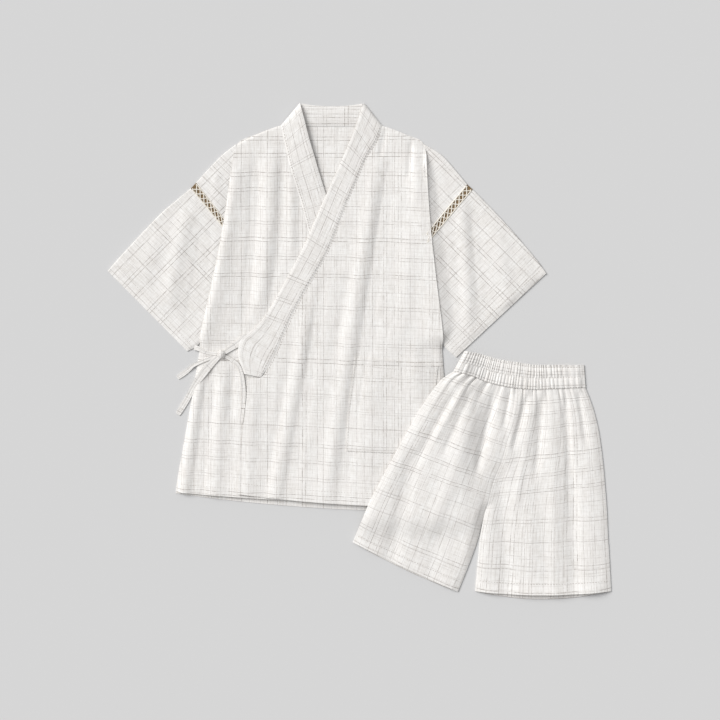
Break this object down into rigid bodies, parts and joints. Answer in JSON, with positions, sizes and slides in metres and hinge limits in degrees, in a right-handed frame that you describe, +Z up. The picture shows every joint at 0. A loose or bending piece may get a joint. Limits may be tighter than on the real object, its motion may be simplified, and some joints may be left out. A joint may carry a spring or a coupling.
{
  "type": "jinbei set",
  "caption": "Wrap-front short-sleeved cotton jinbei jacket with side ties, lace shoulder insertions and a patch pocket, laid flat with its elastic-waist shorts across one hem corner.",
  "frame": {"origin": "middle of the laid-out set's footprint, on the surface it lies on", "axes": "+X across the layout from the wearer's right sleeve to the shorts, +Y from the jacket's hem to its neck, +Z up from the surface"},
  "size_m": [0.9053, 0.8923, 0.0149],
  "materials": {
    "checked_cotton": "slubby off-white cotton with a thin broken grey-beige check, matt",
    "collar_cotton": "the same checked cotton, folded and pressed, matt",
    "ladder_lace": "brown insertion ribbon with cream lattice stitching, matt"
  },
  "bodies": {
    "root": {"jacket_back": "checked_cotton", "jacket_front_right": "checked_cotton", "jacket_front_left": "checked_cotton", "collar_left": "collar_cotton", "collar_right": "collar_cotton", "collar_nape": "collar_cotton", "pocket": "checked_cotton", "sleeve_cap_right": "checked_cotton", "lace_right": "ladder_lace", "sleeve_right": "checked_cotton", "sleeve_cap_left": "checked_cotton", "lace_left": "ladder_lace", "sleeve_left": "checked_cotton", "tie_corner_strand": "collar_cotton", "tie_side_strand": "collar_cotton", "tie_short_end": "collar_cotton", "tie_long_end": "collar_cotton", "tie_loop": "collar_cotton", "tie_knot": "collar_cotton", "waistband": "checked_cotton", "shorts_back_right": "checked_cotton", "shorts_front_right": "checked_cotton", "shorts_back_left": "checked_cotton", "shorts_front_left": "checked_cotton"}
  },
  "joints": []
}
